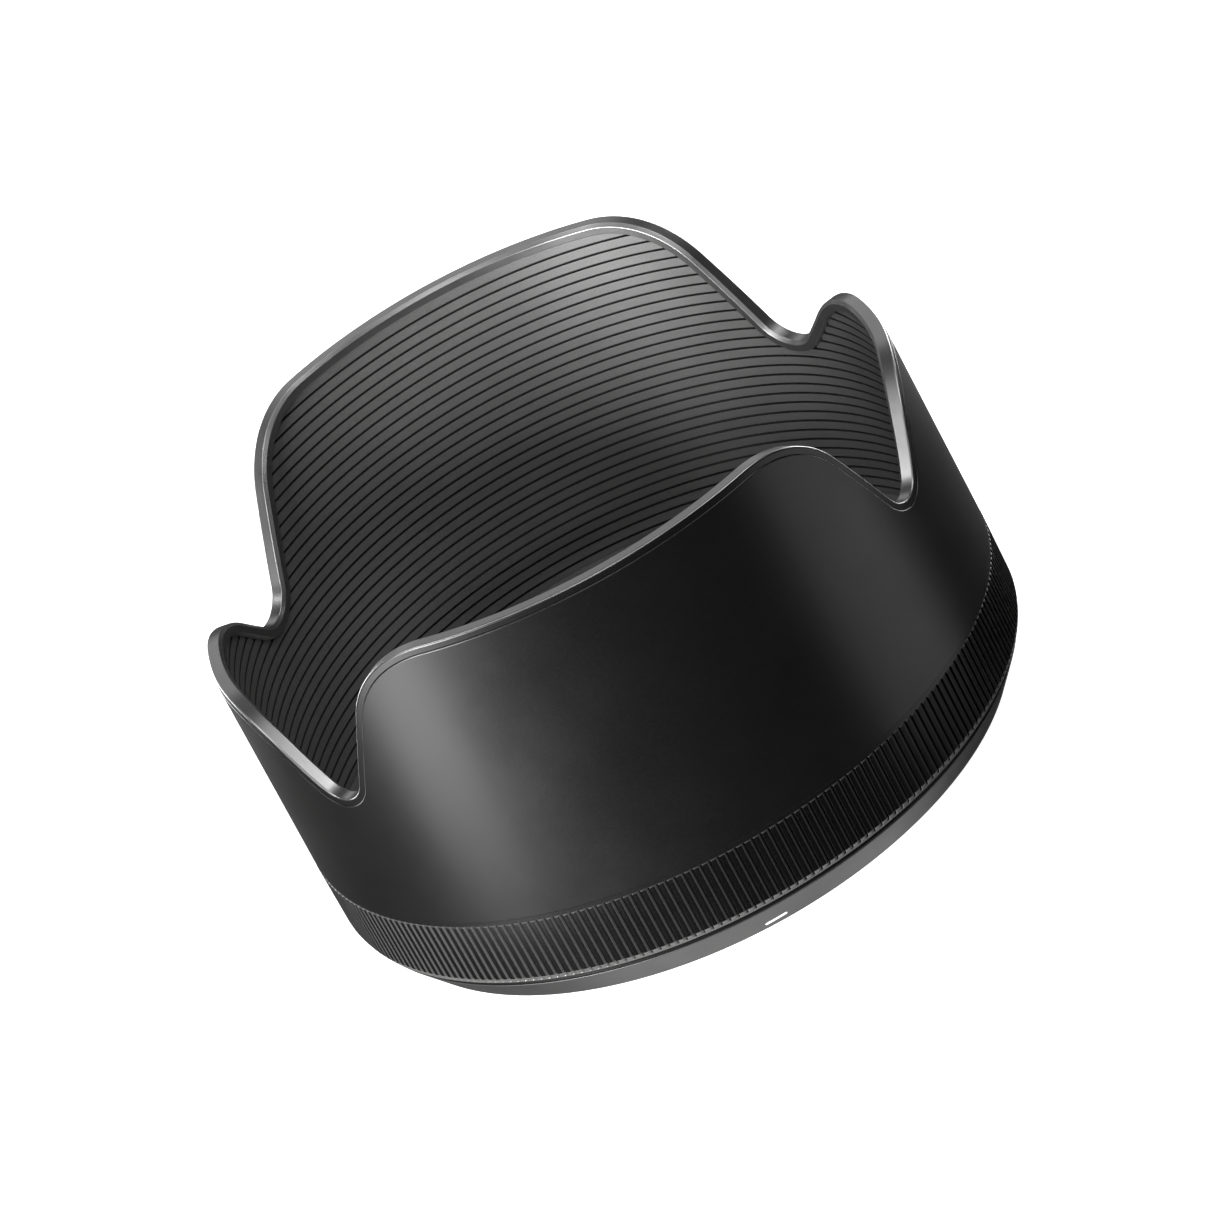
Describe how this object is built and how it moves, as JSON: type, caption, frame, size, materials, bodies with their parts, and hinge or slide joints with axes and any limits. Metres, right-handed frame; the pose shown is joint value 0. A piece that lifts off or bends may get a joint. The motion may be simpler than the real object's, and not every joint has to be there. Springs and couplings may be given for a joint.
{
  "type": "lens hood",
  "caption": "Petal-shaped lens hood: round tapered shell with scalloped front, grooved inside, ribbed grip ring and bevelled bayonet base with sprung detents.",
  "frame": {"origin": "on the optical axis in the plane of the rear face", "axes": "+Z along the optical axis from the lens towards the subject; the tall petals stand on +Y and -Y, the short petals on +X and -X, and the index mark faces -Y"},
  "size_m": [0.0942, 0.0942, 0.0553],
  "materials": {
    "shell_plastic": "satin black moulding, very fine spark texture",
    "rim_plastic": "matt dark grey edge trim",
    "barrel_plastic": "matt black, grooved against stray light",
    "grip_rubber": "ribbed black rubber",
    "adhesive_tape": "thin double-sided tape",
    "base_plastic": "matt black moulding",
    "mark_paint": "white paint fill",
    "bayonet_plastic": "satin black glass-filled moulding",
    "dark_steel": "blackened steel",
    "bright_steel": "turned steel",
    "spring_steel": "rolled spring strip"
  },
  "bodies": {
    "hood": {"outer_shell": "shell_plastic", "petal_rim": "rim_plastic", "inner_barrel": "barrel_plastic", "grip_ring": "grip_rubber", "grip_tape": "adhesive_tape", "base_ring": "base_plastic", "index_mark": "mark_paint", "bayonet_ring": "bayonet_plastic", "bayonet_screws": "dark_steel", "locating_pins": "bright_steel", "stop_pin": "bright_steel", "detent_spring_1": "spring_steel", "detent_spring_2": "spring_steel", "detent_spring_3": "spring_steel"},
    "detent_plunger_1": {"detent_plunger_1": "bright_steel"},
    "detent_plunger_2": {"detent_plunger_2": "bright_steel"},
    "detent_plunger_3": {"detent_plunger_3": "bright_steel"}
  },
  "joints": [
    {"name": "detent_slide_1", "type": "slide", "parent": "hood", "child": "detent_plunger_1", "axis": [0.866, -0.5, 0], "range_m": [0, 0.0005], "stiffness_N_per_m": 800, "springref_m": -0.0006, "deforming": ["detent_spring_1"]},
    {"name": "detent_slide_2", "type": "slide", "parent": "hood", "child": "detent_plunger_2", "axis": [0, 1, 0], "range_m": [0, 0.0005], "stiffness_N_per_m": 800, "springref_m": -0.0006, "deforming": ["detent_spring_2"]},
    {"name": "detent_slide_3", "type": "slide", "parent": "hood", "child": "detent_plunger_3", "axis": [-0.866, -0.5, 0], "range_m": [0, 0.0005], "stiffness_N_per_m": 800, "springref_m": -0.0006, "deforming": ["detent_spring_3"]}
  ]
}
